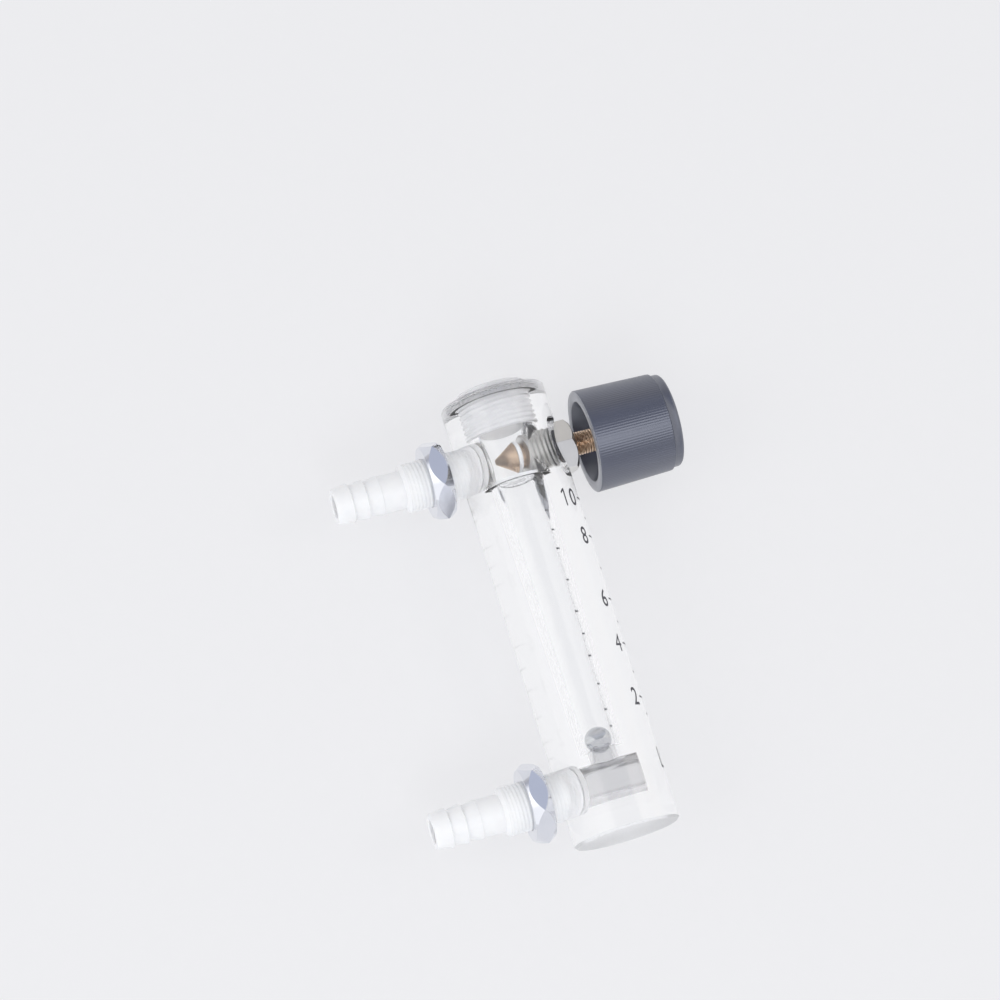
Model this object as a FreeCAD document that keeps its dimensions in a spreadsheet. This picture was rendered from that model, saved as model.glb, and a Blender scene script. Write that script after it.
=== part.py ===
"""Panel flow meter: a clear acrylic rotameter with a needle valve and two barbed fittings.

Frame: the origin is the centre of the body's bottom face.  +Z runs up the float bore,
+X points to the valve knob, and the hose fittings leave along -X.  All sizes are in
millimetres.  Tapped holes and threads are plain cylinders at the thread's outside size.
"""
import FreeCAD, Part
import math
import os
import re

import Sketcher

doc = FreeCAD.newDocument("FlowMeter")

# --------------------------------------------------------------------------- sizes
SIZES = [
    # clear body
    ("body_dia", 26.0),             # outside of the acrylic bar
    ("body_height", 111.5),         # bottom face to top face
    ("body_edge", 0.6),             # chamfer on both end rims
    ("inlet_height", 13.0),         # axis of the lower port above the bottom face
    ("outlet_drop", 16.5),          # upper port axis below the top face
    ("wall_behind_port", 0.6),      # acrylic left between the upper port floor and the chamber
    ("throat_dia", 4.6),            # riser hole from the inlet chamber to the float seat
    ("seat_rise", 7.7),             # float seat above the lower port axis
    ("bore_low_dia", 7.0),          # tapered bore just above the seat
    ("bore_top_dia", 8.8),          # tapered bore at the outlet chamber
    ("chamber_dia", 11.2),          # outlet chamber, the tapping size of the plug thread
    ("chamber_below", 6.0),         # chamber floor below the upper port axis
    ("inlet_chamber_dia", 9.6),
    ("inlet_chamber_reach", 5.2),   # blind end of the inlet chamber past the bore axis
    ("orifice_dia", 4.8),           # valve orifice between the chamber and the outlet port
    # clearances
    ("thread_gap", 0.05),           # radial, between a thread and its tapped hole
    ("running_gap", 0.05),          # radial, round the turning and sliding stem
    ("ring_gap", 0.1),              # radial, between a seal ring and the hole it lies in
    # top plug
    ("plug_thread_dia", 12.0),
    ("plug_thread_length", 9.7),
    ("plug_head_dia", 17.8),
    ("plug_head_height", 2.0),
    ("plug_slot_width", 1.8),
    ("plug_slot_depth", 1.2),
    ("plug_slot_turn", -36.0),      # degrees from +X
    ("plug_edge", 0.4),
    ("plug_ring_dia", 15.2),        # outside of the seal ring's recess
    ("plug_ring_height", 1.2),
    # float and its stop
    ("ball_dia", 6.5),
    ("ball_rest_gap", 0.05),        # between the ball at rest and the rim of its seat
    ("stop_thickness", 0.8),
    ("stop_hole_dia", 4.4),
    ("stop_slot_dia", 1.7),
    ("stop_slot_circle", 7.7),
    # hose fittings and panel nuts
    ("fitting_thread_dia", 12.0),
    ("fitting_thread_show", 14.8),  # thread outside the body
    ("barb_length", 17.0),          # thread's end to the tip of the hose barb
    ("fitting_bore_dia", 5.6),
    ("fitting_nose_dia", 9.3),
    ("fitting_edge", 0.8),
    ("barb_neck_dia", 9.3),
    ("barb_neck", 5.5),             # plain neck between the thread and the first barb
    ("barb_pitch", 3.7),
    ("barb_root_dia", 8.4),
    ("barb_crest_dia", 9.7),
    ("barb_tip_dia", 8.6),
    ("seal_thickness", 1.2),
    ("nut_flats", 18.0),
    ("nut_height", 5.0),
    ("nut_gap", 3.6),               # room for the panel between the body and the nut
    ("nut_turn", 20.0),             # degrees that the nut's -Y corner dips towards -Z
    ("nut_edge_dia", 17.4),         # circle that the chamfer leaves on a nut's face
    ("nut_edge_slope", 1.45),       # chamfer's fall for each millimetre of radius
    # valve bonnet
    ("spotface_dia", 15.6),
    ("spotface_depth", 4.4),        # spotface floor below the bar's outermost line
    ("bonnet_thread_dia", 10.0),
    ("bonnet_end", 3.0),            # inner end of the bonnet from the bore axis
    ("bonnet_flats", 12.0),
    ("bonnet_hex_length", 5.8),
    ("bonnet_nose", 1.6),           # length of the hexagon's turned outer end
    ("bonnet_nose_dia", 11.0),
    ("washer_dia", 13.6),
    ("washer_thickness", 1.1),
    ("packing_dia", 8.4),           # outside of the stem's seal ring
    ("packing_length", 1.8),
    ("packing_inset", 0.8),         # bonnet wall between the seal ring and the chamber
    # needle stem
    ("stem_dia", 5.8),
    ("needle_point", 3.8),          # needle tip behind the bore axis, valve open
    ("needle_tip_dia", 1.2),
    ("needle_base", 1.5),           # wide end of the cone past the bore axis
    ("needle_dia", 7.8),
    ("needle_groove_dia", 6.4),
    ("needle_groove", 0.3),
    ("collar_thickness", 0.7),
    ("collar_dia", 7.6),
    ("stem_in_knob", 14.8),         # stem past the knob's rim
    # knob
    ("knob_gap", 5.8),              # body to the knob's open rim with the valve open
    ("knob_length", 22.1),
    ("knob_rim_dia", 25.4),
    ("knob_taper", 1.2),            # the grip's loss of diameter along its length
    ("knob_grip_length", 19.3),
    ("knob_ridge_depth", 0.35),
    ("knob_ridges", 60.0),
    ("knob_band_step", 2.4),        # smooth end band below the rim's diameter
    ("knob_band_edge", 0.8),
    ("knob_crown", 0.3),            # rise of the domed face
    ("knob_wall", 2.8),
    ("knob_cup_depth", 17.0),
    ("knob_hub_dia", 11.6),
    ("knob_hub_inset", 4.8),        # hub's face behind the rim
    ("bush_dia", 8.6),
    ("bush_length", 10.6),
    ("bush_end_gap", 0.3),          # stem's end to the floor of the hub's hole
]

sheet = doc.addObject("Spreadsheet::Sheet", "Sizes")
sheet.Label = "Sizes"
for row, (alias, value) in enumerate(SIZES, start=1):
    sheet.set("A%d" % row, alias)
    sheet.set("B%d" % row, str(value))
    sheet.setAlias("B%d" % row, alias)

# Lengths that follow from the driving sizes.
DERIVED = [
    ("outlet_height", "body_height - outlet_drop"),
    ("seat_height", "inlet_height + seat_rise"),
    ("chamber_floor", "outlet_height - chamber_below"),
    ("port_floor", "chamber_dia / 2 + wall_behind_port"),
    ("port_dia", "fitting_thread_dia + 2 * thread_gap"),
    ("ball_height", "seat_height + sqrt(ball_dia ^ 2 - throat_dia ^ 2) / 2 + ball_rest_gap"),
    ("nut_face", "body_dia / 2 + nut_gap"),
    ("fitting_thread_end", "body_dia / 2 + fitting_thread_show"),
    ("fitting_tip", "fitting_thread_end + barb_length"),
    ("spotface_seat", "body_dia / 2 - spotface_depth"),
    ("bonnet_seat", "spotface_seat + washer_thickness"),
    ("stem_hole_dia", "stem_dia + 2 * running_gap"),
    ("knob_rim", "body_dia / 2 + knob_gap"),
    ("stem_end", "knob_rim + stem_in_knob"),
    ("knob_grip_end_dia", "knob_rim_dia - knob_taper"),
    ("knob_band_dia", "knob_rim_dia - knob_band_step"),
    ("knob_cup_dia", "knob_rim_dia - 2 * knob_wall"),
    ("knob_face", "knob_rim + knob_length"),
    ("hub_face", "knob_rim + knob_hub_inset"),
    ("hub_floor", "stem_end + bush_end_gap"),
]
first_derived = len(SIZES) + 1
aliases = [alias for alias, _ in SIZES]
for row, (alias, formula) in enumerate(DERIVED, start=first_derived):
    sheet.set("A%d" % row, alias)
    sheet.set("B%d" % row, "=" + formula)
    sheet.setAlias("B%d" % row, alias)
    aliases.append(alias)
doc.recompute()


# --------------------------------------------------------------------------- helpers
def sized(formula):
    """Write a formula on sheet names as a FreeCAD expression."""
    return re.sub(r"[a-z_]{3,}", lambda m: "Sizes." + m[0] if m[0] in aliases else m[0], formula)


def number(formula):
    """The present value of a formula on sheet names."""
    return float(sheet.evalExpression(sized(formula)))


def new_body(label, height="0"):
    """A PartDesign body whose origin stands on the bore axis at a given height."""
    body = doc.addObject("PartDesign::Body", "Body_" + label)
    body.Label = label
    body.setExpression("Placement.Base.z", sized(height))
    return body


def plane(body, role):
    return next(item for item in body.Origin.OriginFeatures if item.Role == role)


def new_sketch(body, name, role, offset="0"):
    """A sketch on one of the body's own planes, moved along the plane's normal."""
    sketch = body.newObject("Sketcher::SketchObject", body.Label + "_" + name)
    sketch.AttachmentSupport = [(plane(body, role), "")]
    sketch.MapMode = "FlatFace"
    sketch.setExpression(".AttachmentOffset.Base.z", sized(offset))
    return sketch


def pin_point(sketch, line, across, up):
    """Hold a line's first point at a place given by two formulas."""
    for kind, axis, formula in (("DistanceX", -2, across), ("DistanceY", -1, up)):
        value = number(formula)
        if abs(value) < 1e-9:
            sketch.addConstraint(Sketcher.Constraint("PointOnObject", line, 1, axis))
            continue
        index = sketch.addConstraint(Sketcher.Constraint(kind, -1, 1, line, 1, value))
        sketch.setExpression("Constraints[%d]" % index, sized(formula))


def draw_outline(sketch, corners):
    """A closed outline of straight lines through corners given as pairs of formulas."""
    places = [FreeCAD.Vector(number(across), number(up), 0) for across, up in corners]
    count = len(places)
    for i in range(count):
        sketch.addGeometry(Part.LineSegment(places[i], places[(i + 1) % count]), False)
    for i in range(count):
        sketch.addConstraint(Sketcher.Constraint("Coincident", i, 2, (i + 1) % count, 1))
    for i, (across, up) in enumerate(corners):
        pin_point(sketch, i, across, up)


def draw_circle(sketch, diameter, up="0"):
    """A circle on the sketch's upright axis."""
    centre = FreeCAD.Vector(0, number(up), 0)
    size = number(diameter)
    circle = sketch.addGeometry(Part.Circle(centre, FreeCAD.Vector(0, 0, 1), size / 2), False)
    sketch.addConstraint(Sketcher.Constraint("PointOnObject", circle, 3, -2))
    if abs(centre.y) < 1e-9:
        sketch.addConstraint(Sketcher.Constraint("PointOnObject", circle, 3, -1))
    else:
        index = sketch.addConstraint(Sketcher.Constraint("DistanceY", -1, 1, circle, 3, centre.y))
        sketch.setExpression("Constraints[%d]" % index, sized(up))
    index = sketch.addConstraint(Sketcher.Constraint("Diameter", circle, size))
    sketch.setExpression("Constraints[%d]" % index, sized(diameter))


def draw_hexagon(sketch, flats):
    """A hexagon about the sketch's origin with corners at its left and right."""
    corner = "(%s) / sqrt(3)" % flats
    half = "(%s) / (2 * sqrt(3))" % flats
    flat = "(%s) / 2" % flats
    draw_outline(sketch, [(corner, "0"), (half, flat), ("-" + half, flat),
                          ("-" + corner, "0"), ("-" + half, "-" + flat), (half, "-" + flat)])


def turned(body, name, corners, axis, cut=False):
    """Turn an outline on the XZ plane about the body's X axis (H) or Z axis (V)."""
    sketch = new_sketch(body, name + "_outline", "XZ_Plane")
    draw_outline(sketch, corners)
    kind = "PartDesign::Groove" if cut else "PartDesign::Revolution"
    feature = body.newObject(kind, body.Label + "_" + name)
    feature.Profile = sketch
    feature.ReferenceAxis = (sketch, [axis + "_Axis"])
    feature.Angle = 360.0
    doc.recompute()
    return feature


def drilled(body, name, diameter, height, start, end):
    """A round hole along X between two places, in a body that stands on the bottom face."""
    sketch = new_sketch(body, name + "_circle", "YZ_Plane", start)
    draw_circle(sketch, diameter, height)
    hole = body.newObject("PartDesign::Pocket", body.Label + "_" + name)
    hole.Profile = sketch
    hole.setExpression("Length", sized("(%s) - (%s)" % (end, start)))
    hole.Reversed = True
    before = body.Shape.Volume if body.Tip else 0
    doc.recompute()
    if not body.Shape.Volume < before - 0.01:
        raise RuntimeError(name + " cuts nothing")
    return hole


def ring(label, height, axis, inner, outer, low, high, edge=0.25):
    """A seal ring of rounded square section between two places along its axis."""
    body = new_body(label, height)
    corners = [(low, inner), (high, inner), (high, outer), (low, outer)]
    if axis == "V":
        corners = [(up, across) for across, up in corners]
    square = turned(body, "ring", corners, axis)
    rims = ["Edge%d" % (i + 1) for i, line in enumerate(square.Shape.Edges)
            if len(line.Vertexes) == 1]
    rounding = body.newObject("PartDesign::Fillet", label + "_rounding")
    rounding.Base = (square, rims)
    rounding.Radius = edge
    body.Tip = rounding
    doc.recompute()
    return body


# --------------------------------------------------------------------------- clear body
flow_body = new_body("flow_body")
turned(flow_body, "bar", [
    ("0", "0"),
    ("body_dia / 2 - body_edge", "0"),
    ("body_dia / 2", "body_edge"),
    ("body_dia / 2", "body_height - body_edge"),
    ("body_dia / 2 - body_edge", "body_height"),
    ("0", "body_height"),
], "V")
# Riser, float seat, tapered bore, outlet chamber, tapped top and ring recess in one bore.
turned(flow_body, "bore", [
    ("0", "inlet_height"),
    ("throat_dia / 2", "inlet_height"),
    ("throat_dia / 2", "seat_height"),
    ("bore_low_dia / 2", "seat_height"),
    ("bore_top_dia / 2", "chamber_floor"),
    ("chamber_dia / 2", "chamber_floor"),
    ("chamber_dia / 2", "body_height - plug_thread_length"),
    ("plug_thread_dia / 2 + thread_gap", "body_height - plug_thread_length"),
    ("plug_thread_dia / 2 + thread_gap", "body_height - plug_ring_height"),
    ("plug_ring_dia / 2", "body_height - plug_ring_height"),
    ("plug_ring_dia / 2", "body_height"),
    ("0", "body_height"),
], "V", cut=True)
for port, height in (("outlet", "outlet_height"), ("inlet", "inlet_height")):
    drilled(flow_body, port + "_port", "port_dia", height, "-body_dia", "-port_floor")
drilled(flow_body, "inlet_chamber", "inlet_chamber_dia", "inlet_height",
        "-port_floor - thread_gap", "inlet_chamber_reach")
drilled(flow_body, "orifice", "orifice_dia", "outlet_height", "-port_floor - thread_gap", "0")
drilled(flow_body, "bonnet_hole", "bonnet_thread_dia + 2 * thread_gap", "outlet_height",
        "0", "body_dia")
drilled(flow_body, "spotface", "spotface_dia", "outlet_height", "spotface_seat", "body_dia")

# --------------------------------------------------------------------------- top plug
top_plug = new_body("top_plug", "body_height")
turned(top_plug, "turning", [
    ("0", "-plug_thread_length"),
    ("plug_thread_dia / 2 - plug_edge", "-plug_thread_length"),
    ("plug_thread_dia / 2", "plug_edge - plug_thread_length"),
    ("plug_thread_dia / 2", "0"),
    ("plug_head_dia / 2", "0"),
    ("plug_head_dia / 2", "plug_head_height - plug_edge"),
    ("plug_head_dia / 2 - plug_edge", "plug_head_height"),
    ("0", "plug_head_height"),
], "V")
slot_sketch = new_sketch(top_plug, "slot_outline", "XY_Plane", "plug_head_height - plug_slot_depth")
slot_sketch.setExpression(".AttachmentOffset.Rotation.Angle", sized("plug_slot_turn * 1 deg"))
draw_outline(slot_sketch, [
    ("-plug_head_dia", "-plug_slot_width / 2"),
    ("plug_head_dia", "-plug_slot_width / 2"),
    ("plug_head_dia", "plug_slot_width / 2"),
    ("-plug_head_dia", "plug_slot_width / 2"),
])
slot = top_plug.newObject("PartDesign::Pocket", "top_plug_slot")
slot.Profile = slot_sketch
slot.setExpression("Length", sized("2 * plug_slot_depth"))
slot.Reversed = True
doc.recompute()

ring("top_plug_seal", "body_height", "V", "plug_thread_dia / 2 + ring_gap",
     "plug_ring_dia / 2 - ring_gap", "-plug_ring_height", "0")

# --------------------------------------------------------------------------- float and stop
float_ball = new_body("float_ball", "ball_height")
ball = float_ball.newObject("PartDesign::AdditiveSphere", "float_ball_sphere")
ball.setExpression("Radius", sized("ball_dia / 2"))
doc.recompute()

float_stop = new_body("float_stop", "chamber_floor")
turned(float_stop, "disc", [
    ("stop_hole_dia / 2", "0"),
    ("chamber_dia / 2 - ring_gap", "0"),
    ("chamber_dia / 2 - ring_gap", "stop_thickness"),
    ("stop_hole_dia / 2", "stop_thickness"),
], "V")
hole_sketch = new_sketch(float_stop, "slot_circle", "XY_Plane")
draw_circle(hole_sketch, "stop_slot_dia", "stop_slot_circle / 2")
flow_hole = float_stop.newObject("PartDesign::Pocket", "float_stop_flow_hole")
flow_hole.Profile = hole_sketch
flow_hole.setExpression("Length", sized("stop_thickness"))
flow_hole.Reversed = True
doc.recompute()
flow_holes = float_stop.newObject("PartDesign::PolarPattern", "float_stop_flow_holes")
flow_holes.Originals = [flow_hole]
flow_holes.Axis = (plane(float_stop, "Z_Axis"), [""])
flow_holes.Angle = 360.0
flow_holes.Occurrences = 6
float_stop.Tip = flow_holes
doc.recompute()


# --------------------------------------------------------------------------- hose fittings
def barb_corners(barbs=3):
    """Outline from the thread's end to the tip: each barb is steep behind and slopes ahead."""
    corners = [("-fitting_thread_end", "barb_neck_dia / 2")]
    for barb in range(barbs):
        back = "-fitting_thread_end - barb_neck - %d * barb_pitch" % barb
        front = "barb_neck_dia / 2" if barb == 0 else "barb_root_dia / 2"
        corners.append((back, front))
        corners.append((back, "barb_crest_dia / 2"))
    return corners + [("-fitting_tip", "barb_tip_dia / 2")]


def hose_fitting(label, height):
    """Nylon fitting: sealing nose, M12 thread and hose barb round a straight bore."""
    body = new_body(label, height)
    shoulder = "-port_floor - seal_thickness"
    turned(body, "turning", [
        ("-port_floor", "fitting_bore_dia / 2"),
        ("-port_floor", "fitting_nose_dia / 2"),
        (shoulder, "fitting_nose_dia / 2"),
        (shoulder, "fitting_thread_dia / 2"),
        ("fitting_edge - fitting_thread_end", "fitting_thread_dia / 2"),
        ("-fitting_thread_end", "fitting_thread_dia / 2 - fitting_edge"),
    ] + barb_corners() + [("-fitting_tip", "fitting_bore_dia / 2")], "H")
    return body


def panel_nut(label, height):
    """Thin hexagon nut, chamfered on both faces."""
    body = new_body(label, height)
    sketch = new_sketch(body, "hexagon", "YZ_Plane", "-nut_face - nut_height")
    sketch.setExpression(".AttachmentOffset.Rotation.Angle", sized("nut_turn * 1 deg"))
    draw_hexagon(sketch, "nut_flats")
    blank = body.newObject("PartDesign::Pad", label + "_blank")
    blank.Profile = sketch
    blank.setExpression("Length", sized("nut_height"))
    doc.recompute()
    drilled(body, "thread", "fitting_thread_dia + 2 * thread_gap", "0",
            "-nut_face - 2 * nut_height", "0")
    far = "nut_flats"
    fall = "(nut_flats - nut_edge_dia / 2) * nut_edge_slope"
    for side, face, sign in (("inner", "-nut_face", "-"), ("outer", "-nut_face - nut_height", "+")):
        turned(body, side + "_chamfer", [
            (face, "nut_edge_dia / 2"),
            ("%s %s %s" % (face, sign, fall), far),
            (face, far),
        ], "H", cut=True)
    return body


for port, height in (("outlet", "outlet_height"), ("inlet", "inlet_height")):
    hose_fitting(port + "_fitting", height)
    ring(port + "_seal", height, "H", "fitting_nose_dia / 2 + ring_gap", "port_dia / 2 - ring_gap",
         "-port_floor - seal_thickness", "-port_floor")
    panel_nut(port + "_nut", height)

# --------------------------------------------------------------------------- valve bonnet
bonnet = new_body("valve_bonnet", "outlet_height")
turned(bonnet, "turning", [
    ("bonnet_end", "stem_hole_dia / 2"),
    ("bonnet_end + packing_inset", "stem_hole_dia / 2"),
    ("bonnet_end + packing_inset", "packing_dia / 2"),
    ("bonnet_end + packing_inset + packing_length", "packing_dia / 2"),
    ("bonnet_end + packing_inset + packing_length", "stem_hole_dia / 2"),
    ("bonnet_seat + bonnet_hex_length / 2", "stem_hole_dia / 2"),
    ("bonnet_seat + bonnet_hex_length / 2", "bonnet_thread_dia / 2"),
    ("bonnet_end", "bonnet_thread_dia / 2"),
], "H")
hexagon = new_sketch(bonnet, "hexagon", "YZ_Plane", "bonnet_seat")
draw_hexagon(hexagon, "bonnet_flats")
head = bonnet.newObject("PartDesign::Pad", "valve_bonnet_head")
head.Profile = hexagon
head.setExpression("Length", sized("bonnet_hex_length"))
doc.recompute()
drilled(bonnet, "stem_hole", "stem_hole_dia", "0", "bonnet_seat", "bonnet_seat + 2 * bonnet_hex_length")
turned(bonnet, "nose", [
    ("bonnet_seat + bonnet_hex_length", "bonnet_nose_dia / 2"),
    ("bonnet_seat + bonnet_hex_length - bonnet_nose", "bonnet_flats / sqrt(3)"),
    ("bonnet_seat + bonnet_hex_length - bonnet_nose", "bonnet_flats"),
    ("bonnet_seat + bonnet_hex_length", "bonnet_flats"),
], "H", cut=True)

ring("bonnet_washer", "outlet_height", "H", "bonnet_thread_dia / 2 + ring_gap", "washer_dia / 2",
     "spotface_seat", "bonnet_seat")
ring("stem_packing", "outlet_height", "H", "stem_hole_dia / 2", "packing_dia / 2 - ring_gap / 2",
     "bonnet_end + packing_inset", "bonnet_end + packing_inset + packing_length")

# --------------------------------------------------------------------------- needle stem
stem = new_body("needle_stem", "outlet_height")
turned(stem, "turning", [
    ("-needle_point", "0"),
    ("-needle_point", "needle_tip_dia / 2"),
    ("needle_base", "needle_dia / 2"),
    ("needle_base", "needle_groove_dia / 2"),
    ("needle_base + needle_groove", "needle_groove_dia / 2"),
    ("needle_base + needle_groove", "collar_dia / 2"),
    ("needle_base + needle_groove + collar_thickness", "collar_dia / 2"),
    ("needle_base + needle_groove + collar_thickness", "stem_dia / 2"),
    ("stem_end", "stem_dia / 2"),
    ("stem_end", "0"),
], "H")

# --------------------------------------------------------------------------- knob
ridges = int(round(number("knob_ridges")))


def draw_ridges(sketch, diameter):
    """A closed zigzag of knurl ridges: outer corners on one circle, inner ones on another."""
    outer = "(%s) / 2" % diameter
    inner = "(%s) / 2 - knob_ridge_depth" % diameter
    corners = []
    for step in range(2 * ridges):
        angle = 180.0 * step / ridges
        radius = outer if step % 2 == 0 else inner
        across = "(%s) * cos(%.6f)" % (radius, angle)
        up = "(%s) * sin(%.6f)" % (radius, angle)
        corners.append((across, up))
    draw_outline(sketch, corners)


knob = new_body("knob", "outlet_height")
rim = new_sketch(knob, "rim_outline", "YZ_Plane", "knob_rim")
draw_ridges(rim, "knob_rim_dia")
grip_end = new_sketch(knob, "grip_end_outline", "YZ_Plane", "knob_rim + knob_grip_length")
draw_ridges(grip_end, "knob_grip_end_dia")
grip = knob.newObject("PartDesign::AdditiveLoft", "knob_grip")
grip.Profile = rim
grip.Sections = [grip_end]
grip.Ruled = True
doc.recompute()
turned(knob, "band", [
    ("knob_rim + knob_grip_length - knob_band_edge", "0"),
    ("knob_rim + knob_grip_length - knob_band_edge", "knob_band_dia / 2"),
    ("knob_face - knob_crown - knob_band_edge", "knob_band_dia / 2"),
    ("knob_face - knob_crown", "knob_band_dia / 2 - knob_band_edge"),
    ("knob_face", "knob_band_dia / 4"),
    ("knob_face", "0"),
], "H")
turned(knob, "cup", [
    ("knob_rim - knob_band_edge", "0"),
    ("knob_rim - knob_band_edge", "knob_cup_dia / 2"),
    ("knob_rim + knob_cup_depth", "knob_cup_dia / 2"),
    ("knob_rim + knob_cup_depth", "knob_hub_dia / 2"),
    ("hub_face", "knob_hub_dia / 2"),
    ("hub_face", "bush_dia / 2"),
    ("hub_floor", "bush_dia / 2"),
    ("hub_floor", "0"),
], "H", cut=True)

bush = new_body("knob_bush", "outlet_height")
turned(bush, "turning", [
    ("hub_floor - bush_length", "stem_hole_dia / 2"),
    ("hub_floor", "stem_hole_dia / 2"),
    ("hub_floor", "bush_dia / 2 - thread_gap"),
    ("hub_floor - bush_length", "bush_dia / 2 - thread_gap"),
], "H")

# --------------------------------------------------------------------------- check and write
doc.recompute()
for item in doc.Objects:
    if "Invalid" in item.State or "Error" in item.State:
        raise RuntimeError("%s failed: %s" % (item.Label, item.State))

os.makedirs("parts", exist_ok=True)
for body in doc.Objects:
    if body.TypeId != "PartDesign::Body":
        continue
    shape = body.Shape
    if shape.isNull() or not shape.isValid() or len(shape.Solids) != 1:
        raise RuntimeError("%s is not one valid solid" % body.Label)
    shape.exportStep("parts/%s.step" % body.Label)
    box = shape.BoundBox
    print("%-16s %9.2f mm3   x %6.2f..%6.2f   y %6.2f..%6.2f   z %6.2f..%6.2f" % (
        body.Label, shape.Volume, box.XMin, box.XMax, box.YMin, box.YMax, box.ZMin, box.ZMax))
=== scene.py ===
# %% [markdown]
# # A panel rotameter in clear acrylic
#
# The real object is a round acrylic bar, bored to hold a steel ball that gas or water
# lifts against a printed scale.  Two nylon hose fittings leave one side of it, and a
# brass needle with a dark knurled knob leaves the other.  The engineering model comes
# first as a fixed frame: where each piece sits and how far it reaches are read from it.
# Its inner sizes, such as bores and thread pitches, are written where they are used.

# %% Load the engineering model
import bpy, bmesh
import math
from mathutils import Matrix, Vector


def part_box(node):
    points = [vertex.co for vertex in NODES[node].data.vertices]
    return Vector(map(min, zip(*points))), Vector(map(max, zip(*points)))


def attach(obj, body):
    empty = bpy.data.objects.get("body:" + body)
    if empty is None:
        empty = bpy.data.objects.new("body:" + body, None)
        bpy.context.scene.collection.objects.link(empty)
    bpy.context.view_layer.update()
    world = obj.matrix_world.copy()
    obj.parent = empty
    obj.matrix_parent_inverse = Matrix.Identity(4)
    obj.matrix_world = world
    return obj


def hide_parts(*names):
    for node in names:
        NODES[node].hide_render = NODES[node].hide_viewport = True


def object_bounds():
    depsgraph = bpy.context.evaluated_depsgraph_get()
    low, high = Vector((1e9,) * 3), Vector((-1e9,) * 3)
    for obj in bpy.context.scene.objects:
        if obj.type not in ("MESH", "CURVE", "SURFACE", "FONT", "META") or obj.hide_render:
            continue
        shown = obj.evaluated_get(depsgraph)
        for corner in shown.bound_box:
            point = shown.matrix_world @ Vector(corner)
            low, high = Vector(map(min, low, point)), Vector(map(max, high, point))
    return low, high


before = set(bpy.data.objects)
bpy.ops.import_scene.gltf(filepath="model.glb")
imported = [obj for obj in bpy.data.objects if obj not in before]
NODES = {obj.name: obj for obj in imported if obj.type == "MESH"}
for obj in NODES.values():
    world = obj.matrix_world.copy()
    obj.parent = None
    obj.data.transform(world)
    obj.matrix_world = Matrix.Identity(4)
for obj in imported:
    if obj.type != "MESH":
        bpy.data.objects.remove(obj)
cad_low, cad_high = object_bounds()
MM = 0.001
X, Y, Z = 0, 1, 2


def span(node, axis):
    """A node's extent along one axis, in millimetres."""
    low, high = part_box(node)
    return low[axis] / MM, high[axis] / MM


print("engineering model:", len(NODES), "pieces,", [round(v, 4) for v in cad_high - cad_low])

# %% [markdown]
# ## A small language for finishes
#
# A finish is a graph of nodes.  Wiring nodes by hand hides the idea behind it, so a
# socket is wrapped in a small class: adding or multiplying two wires places the Math
# node that does it, and one method places any other node.

# %% Wires and finishes
class Wire:
    """An output socket: arithmetic on it adds Math nodes to its finish."""

    def __init__(self, finish, node, socket):
        self.finish, self.node, self.socket = finish, node, socket

    def math(self, operation, *values):
        return self.finish.add("Math", {"operation": operation}, dict(enumerate(values)))

    def __add__(self, other):
        return self.math("ADD", self, other)

    def __radd__(self, other):
        return self.math("ADD", other, self)

    def __sub__(self, other):
        return self.math("SUBTRACT", self, other)

    def __rsub__(self, other):
        return self.math("SUBTRACT", other, self)

    def __mul__(self, other):
        return self.math("MULTIPLY", self, other)

    def __rmul__(self, other):
        return self.math("MULTIPLY", other, self)

    def out(self, name):
        """Another output of the same node."""
        return Wire(self.finish, self.node, self.node.outputs[name])


class Finish:
    """A material that is being put together."""

    def __init__(self, name):
        self.material = bpy.data.materials.new(name)
        self.material.use_nodes = True
        self.tree = self.material.node_tree
        self.tree.nodes.clear()

    def add(self, kind, settings=None, inputs=None, output=0):
        """One node: its type, its settings, and the values or wires of its inputs."""
        node = self.tree.nodes.new("ShaderNode" + kind)
        for name, value in (settings or {}).items():
            if name == "stops":
                ramp = node.color_ramp
                while len(ramp.elements) < len(value):
                    ramp.elements.new(1.0)
                for element, (place, colour) in zip(ramp.elements, value):
                    element.position, element.color = place, colour
            else:
                setattr(node, name, value)
        for name, value in (inputs or {}).items():
            if isinstance(value, Wire):
                self.tree.links.new(value.socket, node.inputs[name])
            else:
                node.inputs[name].default_value = value
        return Wire(self, node, node.outputs[output])

    def place(self, stretch=(1, 1, 1)):
        """The point of the surface in the object's own space, stretched."""
        here = self.add("TexCoord", output="Object")
        return self.add("VectorMath", {"operation": "MULTIPLY"}, {0: here, 1: stretch})

    def cloud(self, size, stretch=(1, 1, 1), detail=3.0):
        """Soft noise whose blobs are about `size` millimetres wide."""
        return self.add("TexNoise", {}, {
            "Vector": self.place(stretch), "Scale": 1 / (size * MM),
            "Detail": detail})

    def between(self, factor, low, high):
        """A value that follows factor from low to high."""
        return self.add("MapRange", {}, {"Value": factor, "To Min": low, "To Max": high})

    def tint(self, factor, first, second):
        """A colour that follows factor from first to second."""
        return self.add("Mix", {"data_type": "RGBA"}, {
            "Factor": factor, 6: rgba(first), 7: rgba(second)}, output=2)

    def bump(self, height, depth):
        """A surface raised by height times depth, in millimetres."""
        return self.add("Bump", {}, {
            "Height": height, "Distance": depth * MM, "Strength": 1.0}, output="Normal")

    def principled(self, **inputs):
        """A Principled surface; an input's spaces are written as underscores."""
        names = {key.replace("_", " "): value for key, value in inputs.items()}
        return self.add("BsdfPrincipled", {}, names)

    def coat(self, **inputs):
        """A Principled surface that ends the graph."""
        self.add_output(self.principled(**inputs))
        return self.material

    def add_output(self, surface):
        end = self.tree.nodes.new("ShaderNodeOutputMaterial")
        self.tree.links.new(surface.socket, end.inputs["Surface"])


def rgba(colour):
    return (*colour, 1.0)


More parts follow.
